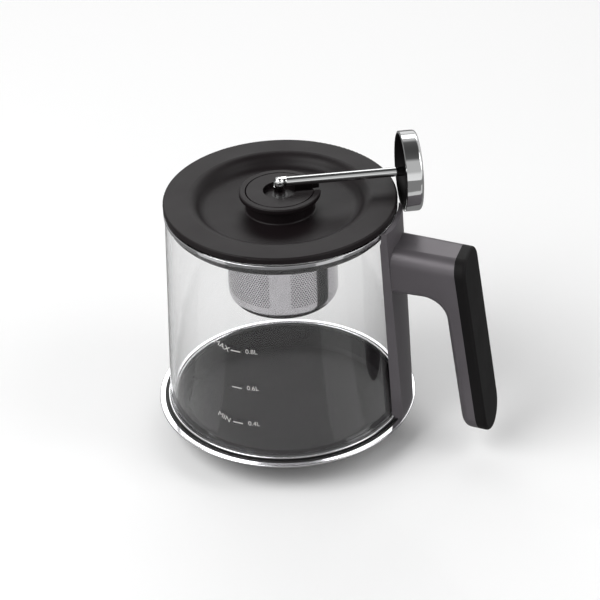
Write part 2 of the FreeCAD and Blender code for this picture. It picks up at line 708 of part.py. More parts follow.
def lid_dish():
    """Lid moulding: flat rim, dished floor, hollow centre boss, skirt and three screw bosses."""
    rim, upper, middle, lower, floor = dish_slope(0.0)
    rim_u, upper_u, middle_u, lower_u, floor_u = dish_slope(LID_T)
    edge = LID_EDGE_R
    c = edge * (1 - math.cos(math.radians(45)))
    under = LID_RIM_Z - LID_EDGE_H
    dish = lathe([
        (BOSS_R - BOSS_WALL, LID_FLOOR_Z - LID_T),
        floor_u,
        (lower_u, middle_u),
        (upper_u, rim_u),
        (SKIRT_R - SKIRT_T, LID_RIM_Z - LID_T),
        (SKIRT_R - SKIRT_T, SKIRT_FOOT_Z),
        (SKIRT_R, SKIRT_FOOT_Z),
        (SKIRT_R, under),
        (LID_R, under),
        (LID_R, LID_RIM_Z - edge),
        ((LID_R - c, LID_RIM_Z - c), (LID_R - edge, LID_RIM_Z)),
        rim,
        (upper, middle),
        (lower, floor),
        (BOSS_R + edge, LID_FLOOR_Z),
        ((BOSS_R + c, LID_FLOOR_Z + c), (BOSS_R, LID_FLOOR_Z + edge)),
        (BOSS_R, BOSS_TOP_Z),
        (BOSS_R - BOSS_WALL, BOSS_TOP_Z),
    ])
    for x, y in around(LID_SCREW_COUNT, LID_SCREW_PCD_R, 90):
        top = LID_FLOOR_Z - LID_T
        dish = dish.fuse(rod(LID_SCREW_R + LID_BOSS_WALL, SKIRT_FOOT_Z, top + 0.2, x, y))
        dish = dish.cut(rod(LID_SCREW_R, SKIRT_FOOT_Z, UNDERPLATE_Z + LID_SCREW_L, x, y))
    return dish.removeSplitter()


def lid_underplate():
    """Disc that closes the lid from below, with a hub that steadies the bush."""
    edge = SKIRT_R - SKIRT_T - UNDERPLATE_GAP
    plate = lathe([
        (BUSH_R, UNDERPLATE_Z),
        (SKIRT_R, UNDERPLATE_Z),
        (SKIRT_R, SKIRT_FOOT_Z),
        (edge, SKIRT_FOOT_Z),
        (edge, SKIRT_FOOT_Z + 0.8),
        (edge - 1.2, SKIRT_FOOT_Z + 0.8),
        (edge - 1.2, SKIRT_FOOT_Z),
        (BUSH_R + HUB_WALL, SKIRT_FOOT_Z),
        (BUSH_R + HUB_WALL, LID_FLOOR_Z),
        (BUSH_R, LID_FLOOR_Z),
    ])
    for x, y in around(LID_SCREW_COUNT, LID_SCREW_PCD_R, 90):
        plate = plate.cut(rod(LID_SCREW_R, UNDERPLATE_Z, SKIRT_FOOT_Z, x, y))
        plate = plate.cut(Part.makeCone(LID_SCREW_HEAD_R, LID_SCREW_R, UNDERPLATE_T * 0.75,
                                        Vector(x, y, UNDERPLATE_Z), Z_AXIS))
    return plate


def lid_screws():
    """Countersunk screws that hold the underplate to the lid."""
    screws = []
    for x, y in around(LID_SCREW_COUNT, LID_SCREW_PCD_R, 90):
        head = Part.makeCone(LID_SCREW_HEAD_R, LID_SCREW_R, UNDERPLATE_T * 0.75,
                             Vector(x, y, UNDERPLATE_Z), Z_AXIS)
        screws.append(head.fuse(rod(LID_SCREW_R, UNDERPLATE_Z, UNDERPLATE_Z + LID_SCREW_L, x, y)))
    return Part.makeCompound(screws)


def lid_gasket():
    """Soft ring on the skirt, with two sealing fins and a flange that lies on the glass rim."""
    inner = SKIRT_R
    body = SKIRT_R + LID_GASKET_T
    fin = LID_GASKET_FIN_T
    top = LID_RIM_Z - LID_EDGE_H
    low = SKIRT_FOOT_Z
    second = low + 2.2 * fin
    flange_r = GLASS_TOP_R - GLASS_WALL / 2
    return lathe([
        (inner, low),
        (LID_GASKET_FIN_R - 0.3, low),
        (LID_GASKET_FIN_R, low + fin * 0.5),
        (body, low + fin),
        (body, second),
        (LID_GASKET_FIN_R - 0.3, second),
        (LID_GASKET_FIN_R, second + fin * 0.5),
        (body, second + fin),
        (body, GLASS_RIM_Z + 0.3),
        (flange_r, GLASS_RIM_Z + 0.3),
        (flange_r, top),
        (inner, top),
    ])


def boss_cap():
    """Cap of the boss: overhanging flange, ring groove, round recess and a slot for the folded rod."""
    top = CAP_TOP_Z
    low = top - CAP_T
    edge = CAP_EDGE_R
    c = edge * (1 - math.cos(math.radians(45)))
    plug_r = BOSS_R - BOSS_WALL - 0.1
    cap = lathe([
        (BUSH_R, low - CAP_PLUG_H),
        (plug_r, low - CAP_PLUG_H),
        (plug_r, low),
        (CAP_R - edge / 2, low),
        (CAP_R, low + edge / 2),
        (CAP_R, top - edge),
        ((CAP_R - c, top - c), (CAP_R - edge, top)),
        (CAP_GROOVE_R + CAP_GROOVE_W / 2, top),
        (CAP_GROOVE_R, top - CAP_GROOVE_D),
        (CAP_GROOVE_R - CAP_GROOVE_W / 2, top),
        (CAP_RECESS_R, top),
        (CAP_RECESS_R, RECESS_Z),
        (BUSH_R, RECESS_Z),
    ])
    slot = Part.makeBox(2 * CAP_R, CAP_SLOT_W, CAP_R, Vector(0, -CAP_SLOT_W / 2, RECESS_Z))
    slot.rotate(ORIGIN, Z_AXIS, LEVER_AZ)
    return cap.cut(slot)


def guide_bush():
    """Plain bush that guides the lift stem through the lid."""
    return tube(BUSH_R, STEM_R + RUN_GAP, UNDERPLATE_Z, RECESS_Z)


def toward_lever(shape):
    """Turn a shape drawn along +X to the direction of the folded lever."""
    shape.rotate(ORIGIN, Z_AXIS, LEVER_AZ)
    return shape


def lift_stem():
    """Stem with a round-eared clevis at its top and a thinner threaded foot."""
    stem = rod(STEM_R, HUB_TOP_Z, PIVOT_Z)
    stem = stem.fuse(Part.makeSphere(STEM_R, Vector(0, 0, PIVOT_Z)))
    stem = stem.fuse(rod(STEM_THREAD_R, COVER_DISC_Z - NUT_H, HUB_TOP_Z))
    floor = PIVOT_Z - TONGUE_R - CLEVIS_FLOOR_GAP
    slot = Part.makeBox(4 * STEM_R, CLEVIS_GAP, 4 * STEM_R, Vector(-2 * STEM_R, -CLEVIS_GAP / 2, floor))
    stem = stem.cut(slot)
    hole = Part.makeCylinder(PIN_R + RUN_GAP, 4 * STEM_R, Vector(0, -2 * STEM_R, PIVOT_Z), Vector(0, 1, 0))
    return toward_lever(stem.cut(hole).removeSplitter())


def pivot_pin():
    """Pin across the clevis that the lever turns on."""
    half = math.sqrt(STEM_R ** 2 - PIN_R ** 2) - PIN_HEAD_T
    pin = Part.makeCylinder(PIN_R, 2 * half, Vector(0, -half, PIVOT_Z), Vector(0, 1, 0))
    return toward_lever(pin)


def lever_rod():
    """Round rod with a flat tongue at the pivot end and a tapped far end."""
    length = KNOB_FACE + KNOB_DEPTH - KNOB_WALL - KNOB_HUB_H - ROD_START
    x_axis = Vector(1, 0, 0)
    bar = Part.makeCylinder(ROD_R, length, Vector(ROD_START, 0, PIVOT_Z), x_axis)
    cone = Part.makeCone(ROD_R * 0.8, ROD_R, 0.5, Vector(ROD_START - 0.5, 0, PIVOT_Z), x_axis)
    tongue = Part.makeBox(ROD_START, TONGUE_T, 2 * TONGUE_R,
                          Vector(0, -TONGUE_T / 2, PIVOT_Z - TONGUE_R))
    eye = Part.makeCylinder(TONGUE_R, TONGUE_T, Vector(0, -TONGUE_T / 2, PIVOT_Z), Vector(0, 1, 0))
    body = bar.fuse([cone, tongue, eye])
    body = body.cut(Part.makeCylinder(PIN_R, 3 * TONGUE_T, Vector(0, -1.5 * TONGUE_T, PIVOT_Z), Vector(0, 1, 0)))
    tap = Part.makeCylinder(KNOB_SCREW_R, KNOB_SCREW_L, Vector(knob_end() - KNOB_SCREW_L, 0, PIVOT_Z), x_axis)
    return toward_lever(body.cut(tap).removeSplitter())


def knob_end():
    """Inner side of the cup's end wall hub, measured from the pivot."""
    return KNOB_FACE + KNOB_DEPTH - KNOB_WALL


def along_lever(steps):
    """Solid of revolution about the folded lever's axis from (distance, radius) steps."""
    wire = closed_wire(steps, lambda s, r: Vector(s, 0, PIVOT_Z + r))
    body = Part.Face(wire).revolve(Vector(0, 0, PIVOT_Z), Vector(1, 0, 0), 360)
    return toward_lever(body)


def knob_cup():
    """Shallow turned cup with a rolled outer edge and a hub for the rod."""
    face = KNOB_FACE
    end = KNOB_FACE + KNOB_DEPTH
    r = KNOB_R
    w = KNOB_WALL
    e = KNOB_EDGE_R
    c = e * (1 - math.cos(math.radians(45)))
    inner_e = e - w * 0.6
    ci = inner_e * (1 - math.cos(math.radians(45)))
    return along_lever([
        (face, r - w * 0.6),
        (face + w * 0.3, r),
        (end - e, r),
        ((end - c, r - c), (end, r - e)),
        (end, KNOB_SCREW_R),
        (end - w - KNOB_HUB_H, KNOB_SCREW_R),
        (end - w - KNOB_HUB_H, KNOB_HUB_R),
        (end - w, KNOB_HUB_R),
        (end - w, r - w - inner_e),
        ((end - w - ci, r - w - ci), (end - w - inner_e, r - w)),
        (face, r - w),
    ])


def knob_screw():
    """Screw from the cup's outer face into the rod, with a flat button head."""
    end = KNOB_FACE + KNOB_DEPTH
    start = knob_end() - KNOB_SCREW_L
    return along_lever([
        (start, 0),
        (start, KNOB_SCREW_R),
        (end, KNOB_SCREW_R),
        (end, KNOB_BUTTON_R),
        (end + KNOB_BUTTON_T * 0.5, KNOB_BUTTON_R),
        (end + KNOB_BUTTON_T, KNOB_BUTTON_R * 0.8),
        (end + KNOB_BUTTON_T, 0),
    ])


def stem_collar():
    """Stop collar that meets the underplate when the stem is drawn up."""
    return tube(COLLAR_R, STEM_R, HUB_TOP_Z, COLLAR_TOP_Z)


def basket_cover():
    """Perforated disc on the stem's foot, with a hub and bayonet lugs for the basket."""
    low = COVER_DISC_Z
    top = low + COVER_DISC_T
    disc_r = BASKET_R - BASKET_WALL - COVER_DISC_GAP - LUG_REACH
    disc = lathe([
        (STEM_THREAD_R, low),
        (disc_r, low),
        (disc_r, top),
        (COVER_HUB_R, top),
        (COVER_HUB_R * 0.8, HUB_TOP_Z),
        (STEM_THREAD_R, HUB_TOP_Z),
    ])
    for radius, count in zip(COVER_HOLE_ROW_R, COVER_HOLE_COUNTS):
        for x, y in around(count, radius):
            disc = disc.cut(rod(COVER_HOLE_R, low, top, x, y))
    for k in range(LUG_COUNT):
        start = 360.0 * k / LUG_COUNT - LUG_ANGLE / 2
        lug = lathe([(disc_r - 0.5, top - LUG_T), (disc_r + LUG_REACH, top - LUG_T),
                     (disc_r + LUG_REACH, top), (disc_r - 0.5, top)], LUG_ANGLE, start)
        disc = disc.fuse(lug)
    return disc.removeSplitter()


def stem_nut():
    """Hexagon nut that holds the cover disc on the stem."""
    corners = list(around(6, NUT_R))
    wire = closed_wire(corners, lambda x, y: Vector(x, y, COVER_DISC_Z - NUT_H))
    nut = Part.Face(wire).extrude(Vector(0, 0, NUT_H))
    return nut.cut(rod(STEM_THREAD_R, COVER_DISC_Z - NUT_H, COVER_DISC_Z))


def basket_shell():
    """Thin deep-drawn cup with a rounded foot and a perforated floor."""
    r = BASKET_R
    w = BASKET_WALL
    low = BASKET_FOOT_Z
    c = BASKET_CORNER_R
    k = c * (1 - math.cos(math.radians(45)))
    ci = c - w
    ki = ci * (1 - math.cos(math.radians(45)))
    top = BASKET_TOP_Z - RIM_LIP_T
    cup = lathe([
        (0, low),
        (r - c, low),
        ((r - k, low + k), (r, low + c)),
        (r, top),
        (r - w, top),
        (r - w, low + c),
        ((r - w - ki, low + w + ki), (r - c, low + w)),
        (0, low + w),
    ])
    for radius, count in zip(FLOOR_HOLE_ROW_R, FLOOR_HOLE_COUNTS):
        for x, y in around(count, radius):
            cup = cup.cut(rod(FLOOR_HOLE_R, low, low + w, x, y))
    return cup


def basket_rim():
    """Ring on the basket's mouth, with a lip that the cover's lugs turn under."""
    top = BASKET_TOP_Z
    low = top - RIM_H
    lip = BASKET_R - BASKET_WALL - LUG_REACH - COVER_DISC_GAP + 0.4
    ring = lathe([
        (BASKET_R, low),
        (RIM_R - 0.4, low),
        (RIM_R, low + 0.4),
        (RIM_R, top - 0.4),
        (RIM_R - 0.4, top),
        (lip, top),
        (lip, top - RIM_LIP_T),
        (BASKET_R, top - RIM_LIP_T),
    ])
    reach = BASKET_R - BASKET_WALL
    width = LUG_ANGLE + LUG_NOTCH_SPARE
    for k in range(LUG_COUNT):
        start = 360.0 * k / LUG_COUNT - LUG_TURN - width / 2
        notch = lathe([(lip - 1, top - RIM_LIP_T), (reach, top - RIM_LIP_T), (reach, top), (lip - 1, top)],
                      width, start)
        ring = ring.cut(notch)
    return ring


def build():
    """Make every node and write it."""
    blank = handle_blank()
    nodes = {
        "glass_body": glass_body(),
        "glass_gasket": glass_gasket(),
        "heater_pan": heater_pan(),
        "base_ring": base_ring(),
        "heat_spreader": heat_spreader(),
        "heating_element": heating_element(),
        "thermostat": thermostat(),
        "contact_board": contact_board(),
        "contact_rings": contact_rings(),
        "base_cover": base_cover(),
        "foot_ring": foot_ring(),
        "base_screws": base_screws(),
        "handle_bracket": handle_bracket(),
        "bracket_pad": bracket_pad(),
        "handle_shell": handle_shell(blank),
        "grip_insert": grip_insert(blank),
        "handle_screws": handle_screws(),
        "lid_dish": lid_dish(),
        "lid_underplate": lid_underplate(),
        "lid_screws": lid_screws(),
        "lid_gasket": lid_gasket(),
        "boss_cap": boss_cap(),
        "guide_bush": guide_bush(),
        "lift_stem": lift_stem(),
        "stem_collar": stem_collar(),
        "basket_cover": basket_cover(),
        "stem_nut": stem_nut(),
        "pivot_pin": pivot_pin(),
        "lever_rod": lever_rod(),
        "knob_cup": knob_cup(),
        "knob_screw": knob_screw(),
        "basket_shell": basket_shell(),
        "basket_rim": basket_rim(),
    }
    for name, shape in nodes.items():
        save(name, shape)


os.makedirs("parts", exist_ok=True)
build()
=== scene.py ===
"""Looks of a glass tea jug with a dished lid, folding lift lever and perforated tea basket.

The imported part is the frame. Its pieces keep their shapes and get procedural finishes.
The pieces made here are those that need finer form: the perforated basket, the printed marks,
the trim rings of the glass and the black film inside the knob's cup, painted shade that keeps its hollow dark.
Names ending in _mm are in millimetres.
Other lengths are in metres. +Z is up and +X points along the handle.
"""

import json
import logging
import math
from dataclasses import dataclass, field
from enum import Enum
from typing import Callable

import bpy
import numpy as np
from mathutils import Matrix, Vector


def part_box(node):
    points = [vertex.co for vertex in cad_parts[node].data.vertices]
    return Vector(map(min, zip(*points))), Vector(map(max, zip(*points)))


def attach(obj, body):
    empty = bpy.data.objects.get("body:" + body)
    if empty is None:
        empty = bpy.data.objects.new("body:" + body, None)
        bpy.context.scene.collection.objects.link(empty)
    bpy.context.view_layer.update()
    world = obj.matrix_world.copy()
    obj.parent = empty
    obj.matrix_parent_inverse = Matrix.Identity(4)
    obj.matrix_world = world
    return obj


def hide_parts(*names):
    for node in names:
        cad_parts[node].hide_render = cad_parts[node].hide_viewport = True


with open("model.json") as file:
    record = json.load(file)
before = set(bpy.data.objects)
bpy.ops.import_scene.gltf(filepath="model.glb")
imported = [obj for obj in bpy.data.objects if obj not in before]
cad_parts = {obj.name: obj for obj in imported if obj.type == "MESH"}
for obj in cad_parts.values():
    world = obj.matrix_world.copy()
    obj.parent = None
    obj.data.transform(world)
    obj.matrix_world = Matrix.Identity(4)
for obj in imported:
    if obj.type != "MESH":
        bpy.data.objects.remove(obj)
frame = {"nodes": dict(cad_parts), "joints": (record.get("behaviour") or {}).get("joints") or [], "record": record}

log = logging.getLogger("tea_jug")

MM = 0.001
CAMERA_TURN = 19.5  # how far the camera stands round from the jug's own front, in degrees
TURN_STEPS = 192  # steps round an axis for turned pieces
CORNER_STEPS = 6  # points on each rounded corner of a turned ring


def linear(hex_colour: str) -> tuple[float, float, float, float]:
    """Turn an sRGB hex colour into the linear colour that a shader takes.

    Args:
        hex_colour: Colour as "#rrggbb".

    Returns:
        Linear red, green, blue and an alpha of 1.
    """
    levels = np.array([int(hex_colour[k : k + 2], 16) for k in (1, 3, 5)]) / 255.0
    low = levels / 12.92
    high = ((levels + 0.055) / 1.055) ** 2.4
    return (*np.where(levels <= 0.04045, low, high).tolist(), 1.0)


def tenth_mm(length: float) -> float:
    """Turn a length of the frame into millimetres, rounded to a tenth to lose the steps of its mesh.

    Args:
        length: Length in metres.

    Returns:
        Length in millimetres.
    """
    return round(length / MM, 1)


class Grain(Enum):
    """How the fine marks of a surface run."""

    SPARK = "even pits of a spark-eroded mould"
    TURNED = "rings left by turning or spinning about an axis"
    DRAWN = "lines left by drawing or brushing along an axis"
    CAST = "soft uneven swell of a poured or blown surface"


@dataclass(frozen=True)
class Finish:
    """One material: what it is made of and how its surface was made.

    Fine marks of grain_mm and depth_mm make the relief. Larger clouds of cloud_mm shift the roughness
    by up to spread and the colour by up to the share cloud. absorb_per_m darkens thick glass.
    """

    name: str
    colour: str
    roughness: float
    grain: Grain
    grain_mm: float
    depth_mm: float
    spread: float = 0.05
    metallic: float = 0.0
    ior: float = 1.5
    specular: float = 0.5
    coat: float = 0.0
    coat_roughness: float = 0.1
    transmission: float = 0.0
    absorb_colour: str = "#bcbcbc"
    absorb_per_m: float = 0.0
    cloud_mm: float = 18.0
    cloud: float = 0.06


class Tree:
    """Node tree of a material or of the surroundings, grown one node at a time."""

    def __init__(self, owner: bpy.types.Material | bpy.types.World) -> None:
        """Empty the owner's node tree.

        Args:
            owner: Material or world that the nodes belong to.
        """
        owner.use_nodes = True
        self.tree = owner.node_tree
        self.tree.nodes.clear()

    def add(self, kind: str, settings: dict | None = None, **inputs) -> bpy.types.Node:
        """Add one node and fill its sockets.

        Args:
            kind: Node type without the ShaderNode prefix.
            settings: Properties of the node itself.
            **inputs: Socket name with _ for a space, or in0, in1 for a place; a value or another socket.

        Returns:
            The new node.
        """
        node = self.tree.nodes.new("ShaderNode" + kind)
        for key, value in (settings or {}).items():
            setattr(node, key, value)
        for key, value in inputs.items():
            socket = node.inputs[int(key[2:])] if key[2:].isdigit() else node.inputs[key.replace("_", " ")]
            if isinstance(value, bpy.types.NodeSocket):
                self.tree.links.new(value, socket)
            else:
                socket.default_value = value
        return node


class Finisher:
    """Turns finishes into materials, one each."""

    MARK_SHARE = 0.35  # how much the fine marks count beside the clouds in the roughness
    MIXED_SPAN = (0.35, 1.0)  # where marks and clouds together mostly lie
    CLOUD_SPAN = (0.3, 0.7)  # where the clouds alone mostly lie
    LEAST_ROUGHNESS = 0.01

    def __init__(self) -> None:
        """Start with no materials made."""
        self.made: dict[Finish, bpy.types.Material] = {}

    def material(self, finish: Finish) -> bpy.types.Material:
        """Give the material of a finish, building it the first time.

        Args:
            finish: What the surface is.

        Returns:
            The material.
        """
        if finish not in self.made:
            self.made[finish] = self._build(finish)
        return self.made[finish]

    def _marks(self, tree: Tree, finish: Finish) -> bpy.types.NodeSocket:
        """Height of the fine marks, as a grey value.

        Args:
            tree: The material's tree.
            finish: What the surface is.

        Returns:
            Socket with the height.
        """
        place = tree.add("TexCoord").outputs["Object"]
        per_metre = 1.0 / (finish.grain_mm * MM)
        if finish.grain is Grain.TURNED:
            flat = tree.add("VectorMath", {"operation": "MULTIPLY"}, in0=place, in1=(1.0, 1.0, 0.0))
            reach = tree.add("VectorMath", {"operation": "LENGTH"}, in0=flat.outputs[0]).outputs["Value"]
            rings = tree.add("TexNoise", {"noise_dimensions": "1D"}, W=reach, Scale=per_metre, Detail=3.0)
            return rings.outputs[0]
        if finish.grain is Grain.DRAWN:
            long = tree.add("VectorMath", {"operation": "MULTIPLY"}, in0=place, in1=(1.0, 1.0, 0.02))
            return tree.add("TexNoise", Vector=long.outputs[0], Scale=per_metre, Detail=3.0).outputs[0]
        detail = 2.0 if finish.grain is Grain.SPARK else 0.0
        return tree.add("TexNoise", Vector=place, Scale=per_metre, Detail=detail).outputs[0]

    def _build(self, finish: Finish) -> bpy.types.Material:
        """Build one material.

        Args:
            finish: What the surface is.

        Returns:
            The material.
        """
        material = bpy.data.materials.new(finish.name)
        tree = Tree(material)
        marks = self._marks(tree, finish)
        clouds = tree.add(
            "TexNoise",
            Vector=tree.add("TexCoord").outputs["Object"],
            Scale=1.0 / (finish.cloud_mm * MM),
            Detail=4.0,
        ).outputs[0]
        mixed = tree.add(
            "Math", {"operation": "MULTIPLY_ADD"}, in0=marks, in1=self.MARK_SHARE, in2=clouds
        ).outputs[0]
        gloss = tree.add(
            "MapRange",
            Value=mixed,
            From_Min=self.MIXED_SPAN[0],
            From_Max=self.MIXED_SPAN[1],
            To_Min=max(finish.roughness - finish.spread, self.LEAST_ROUGHNESS),
            To_Max=finish.roughness + finish.spread,
        ).outputs[0]
        colour = linear(finish.colour)
        if finish.cloud:
            tone = tree.add(
                "MapRange",
                Value=clouds,
                From_Min=self.CLOUD_SPAN[0],
                From_Max=self.CLOUD_SPAN[1],
                To_Min=1.0 - finish.cloud,
                To_Max=1.0 + finish.cloud,
            ).outputs[0]
            colour = tree.add("VectorMath", {"operation": "SCALE"}, in0=colour[:3], Scale=tone).outputs[0]
        relief = tree.add("Bump", Height=marks, Distance=finish.depth_mm * MM, Strength=1.0).outputs[0]
        settings = {
            "Base_Color": colour,
            "Roughness": gloss,
            "Normal": relief,
            "Metallic": finish.metallic,
            "Transmission_Weight": finish.transmission,
            "Coat_Weight": finish.coat,
            "Coat_Roughness": finish.coat_roughness,
        }
        if finish.metallic < 1.0:
            settings |= {"IOR": finish.ior, "Specular_IOR_Level": finish.specular}
        out = tree.add("OutputMaterial", Surface=tree.add("BsdfPrincipled", **settings).outputs[0])
        if finish.absorb_per_m:
            tint = linear(finish.absorb_colour)
            murk = tree.add("VolumeAbsorption", Color=tint, Density=finish.absorb_per_m)
            tree.tree.links.new(murk.outputs[0], out.inputs["Volume"])
        return material


# Real spark texture and brushing lines are about 0.05 to 0.1 mm wide. Under about 0.2 mm they would not
# show at this size, so they are drawn coarser, as coarse as it takes to break up the gloss.

# Borosilicate glass, blown and fire polished: clear, grey where the eye looks along the wall
GLASS = Finish("borosilicate_glass", "#ffffff", 0.012, Grain.CAST, 26.0, 0.02, spread=0.004, ior=1.47,
               transmission=1.0, cloud=0.0, absorb_colour="#bcbdbe", absorb_per_m=45.0)
# Silicone rubber, press moulded: dull black with a faint bloom
RUBBER = Finish("silicone_rubber", "#131213", 0.5, Grain.SPARK, 0.35, 0.008, spread=0.08)
# Non-stick coating, sprayed and baked on a pressed pan: dark satin with fine orange peel
COATING = Finish("nonstick_coating", "#120d10", 0.42, Grain.SPARK, 0.5, 0.0015, spread=0.05, specular=0.12)
# Chrome, plated on polished metal: mirror with faint polishing waves
CHROME = Finish("chrome_plate", "#eceded", 0.06, Grain.CAST, 14.0, 0.006, spread=0.02, metallic=1.0,
                cloud=0.02)
# Stainless steel, spun and polished: bright with faint turning rings
RING_STEEL = Finish("spun_ring_steel", "#e6e6e8", 0.09, Grain.TURNED, 0.4, 0.001, spread=0.03, metallic=1.0,
                    cloud=0.02)
# Stainless steel sheet, drawn and satin polished: soft upright reflections
BASKET_STEEL = Finish("drawn_basket_steel", "#bcbabd", 0.13, Grain.DRAWN, 0.2, 0.0012, spread=0.05,
                      metallic=1.0, cloud=0.03)
# Aluminium, die cast: pale and matt with a fine skin
ALUMINIUM = Finish("die_cast_aluminium", "#b9babc", 0.42, Grain.SPARK, 0.8, 0.02, metallic=1.0)
# Steel of pins and screws, turned: bright with fine rings about the axis
SMALL_STEEL = Finish("turned_steel", "#c3c3c6", 0.2, Grain.TURNED, 0.3, 0.002, metallic=1.0)
# Brass strip, punched: yellow with rubbed tracks
BRASS = Finish("punched_brass", "#cfa85a", 0.28, Grain.TURNED, 0.4, 0.003, metallic=1.0)
# Black nylon, injection moulded in a spark-eroded tool: dull with a fine grain
BLACK_PLASTIC = Finish("black_nylon", "#171516", 0.45, Grain.SPARK, 0.3, 0.008, spread=0.07)
# Polypropylene of the lid, injection moulded in a satin tool: warm black with broad soft highlights
LID_PLASTIC = Finish("lid_plastic", "#140e10", 0.46, Grain.SPARK, 0.6, 0.003, spread=0.05, specular=0.24)
# ABS shell, moulded and sprayed with metallic lacquer: warm grey that brightens along its edges
GREY_SHELL = Finish("grey_lacquered_shell", "#615d61", 0.4, Grain.SPARK, 0.35, 0.003, spread=0.05,
                    metallic=0.45, coat=0.1, coat_roughness=0.3)
# Thermoplastic rubber of the grip, moulded: nearly black and matt
BLACK_GRIP = Finish("soft_touch_grip", "#0c0a0b", 0.58, Grain.SPARK, 0.4, 0.006, spread=0.08, specular=0.2)
# Black film inside the knob's cup, dull: painted shade that keeps the hollow dark
CUP_PAINTED_SHADE = Finish("cup_painted_shade", "#0d0b0c", 0.55, Grain.SPARK, 0.5, 0.006, specular=0.2)
# Ceramic enamel of the level marks, screen printed and fired: flat pale grey
INK = Finish("screen_print_enamel", "#bdbcba", 0.5, Grain.SPARK, 0.2, 0.004)

SLOT_FINISH = {
    "glass": GLASS,
    "seal_rubber": RUBBER,
    "dark_coating": COATING,
    "bright_chrome": CHROME,
    "aluminium": ALUMINIUM,
    "steel_small": SMALL_STEEL,
    "black_plastic": BLACK_PLASTIC,
    "brass": BRASS,
    "grey_shell": GREY_SHELL,
    "black_grip": BLACK_GRIP,
    "lid_plastic": LID_PLASTIC,
    "basket_steel": BASKET_STEEL,
}
NODE_FINISH = {"base_ring": RING_STEEL}


class Shapes:
    """Makes meshes and hangs them on the bodies of the frame."""

    def __init__(self, finisher: Finisher) -> None:
        """Keep the source of materials.

        Args:
            finisher: Source of the materials.
        """
        self.finisher = finisher

    def piece(
        self,
        name: str,
        points: np.ndarray,
        faces: list,
        body: str,
        finish: Finish,
        slot: str,
        smooth: bool = True,
    ) -> bpy.types.Object:
        """Make one piece from its points and faces.

        Args:
            name: Name of the piece.
            points: Corner places in metres, one row each.
            faces: Corner numbers of each face.
            body: Body that the piece moves with.
            finish: What its surface is.
            slot: Material slot of the record; not used.
            smooth: True where the faces shade as one curve.

        Returns:
            The new object.
        """
        mesh = bpy.data.meshes.new(name)
        mesh.from_pydata(points.tolist(), [], faces)
        mesh.validate()
        mesh.polygons.foreach_set("use_smooth", np.full(len(mesh.polygons), smooth))
        mesh.materials.append(self.finisher.material(finish))
        thing = bpy.data.objects.new(name, mesh)
        bpy.context.scene.collection.objects.link(thing)
        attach(thing, body)
        log.info("%s: %d points, %d faces", name, len(points), len(faces))
        return thing

    def lathe(
        self, name: str, outline: np.ndarray, stand: Matrix, body: str, finish: Finish, slot: str
    ) -> bpy.types.Object:
        """Turn a closed outline about an axis.

        Point (r, h) of the outline goes to (r cos a, r sin a, h) for each angle a, then to its stand.

        Args:
            name: Name of the piece.
            outline: Closed loop of radius and height in millimetres, anticlockwise.
            stand: Where the axis stands, in metres.
            body: Body that the piece moves with.
            finish: What its surface is.
            slot: Material slot of the record.

        Returns:
            The new object.
        """
        steps, k = TURN_STEPS, len(outline)
        turn = np.arange(steps) * 2 * math.pi / steps
        r, h = outline[:, 0], outline[:, 1]
        points = np.stack(
            (np.outer(np.cos(turn), r), np.outer(np.sin(turn), r), np.tile(h, (steps, 1))), axis=-1
        ).reshape(-1, 3) * MM
        spin = np.array(stand.to_3x3())
        points = points @ spin.T + np.array(stand.translation)
        i, j = np.meshgrid(np.arange(steps), np.arange(k), indexing="ij")
        n, m = (i + 1) % steps, (j + 1) % k
        faces = np.stack((i * k + j, n * k + j, n * k + m, i * k + m), axis=-1).reshape(-1, 4)
        return self.piece(name, points, faces.tolist(), body, finish, slot)


def rounded_box(low_r: float, high_r: float, low_h: float, high_h: float, soft: float) -> np.ndarray:
    """Closed rectangle with quarter-round corners, anticlockwise.

    A corner point is its corner's middle plus soft (cos a, sin a), with a over a quarter turn.

    Args:
        low_r: Inner radius.
        high_r: Outer radius.
        low_h: Lower height.
        high_h: Upper height.
        soft: Corner radius.

    Returns:
        Points (r, h).
    """
    bend = np.radians(np.linspace(0.0, 90.0, CORNER_STEPS))
    middles = [(high_r - soft, low_h + soft), (high_r - soft, high_h - soft),
               (low_r + soft, high_h - soft), (low_r + soft, low_h + soft)]
    arcs = [
        np.column_stack((r + soft * np.cos(bend + start), h + soft * np.sin(bend + start)))
        for (r, h), start in zip(middles, np.radians([-90.0, 0.0, 90.0, 180.0]))
    ]
    return np.vstack(arcs)


@dataclass(frozen=True)
class GlassWall:
    """Outer side of the glass: a cone between its rounded foot and its rolled mouth, in millimetres."""

    low_z: float
    high_z: float
    foot_r: float
    foot_round: float = 0.55
    mouth: float = 2.8
    taper: float = 3.5

    @classmethod
    def of_frame(cls) -> "GlassWall":
        """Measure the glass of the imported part.

        Returns:
            The wall.
        """
        low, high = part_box("glass_body")
        return cls(tenth_mm(low.z), tenth_mm(high.z), tenth_mm(high.x))

    @property
    def foot_z(self) -> float:
        """Height at which the cone starts."""
        return self.low_z + self.foot_round

    @property
    def top_z(self) -> float:
        """Height at which the cone ends."""
        return self.high_z - self.mouth

    @property
    def top_r(self) -> float:
        """Radius at which the cone ends."""
        return self.foot_r - self.taper

    def radius(self, z: np.ndarray) -> np.ndarray:
        """Radius of the cone, which falls evenly from foot to mouth.

        Args:
            z: Heights.

        Returns:
            Radii.
        """
        return self.foot_r - self.taper * (z - self.foot_z) / (self.top_z - self.foot_z)


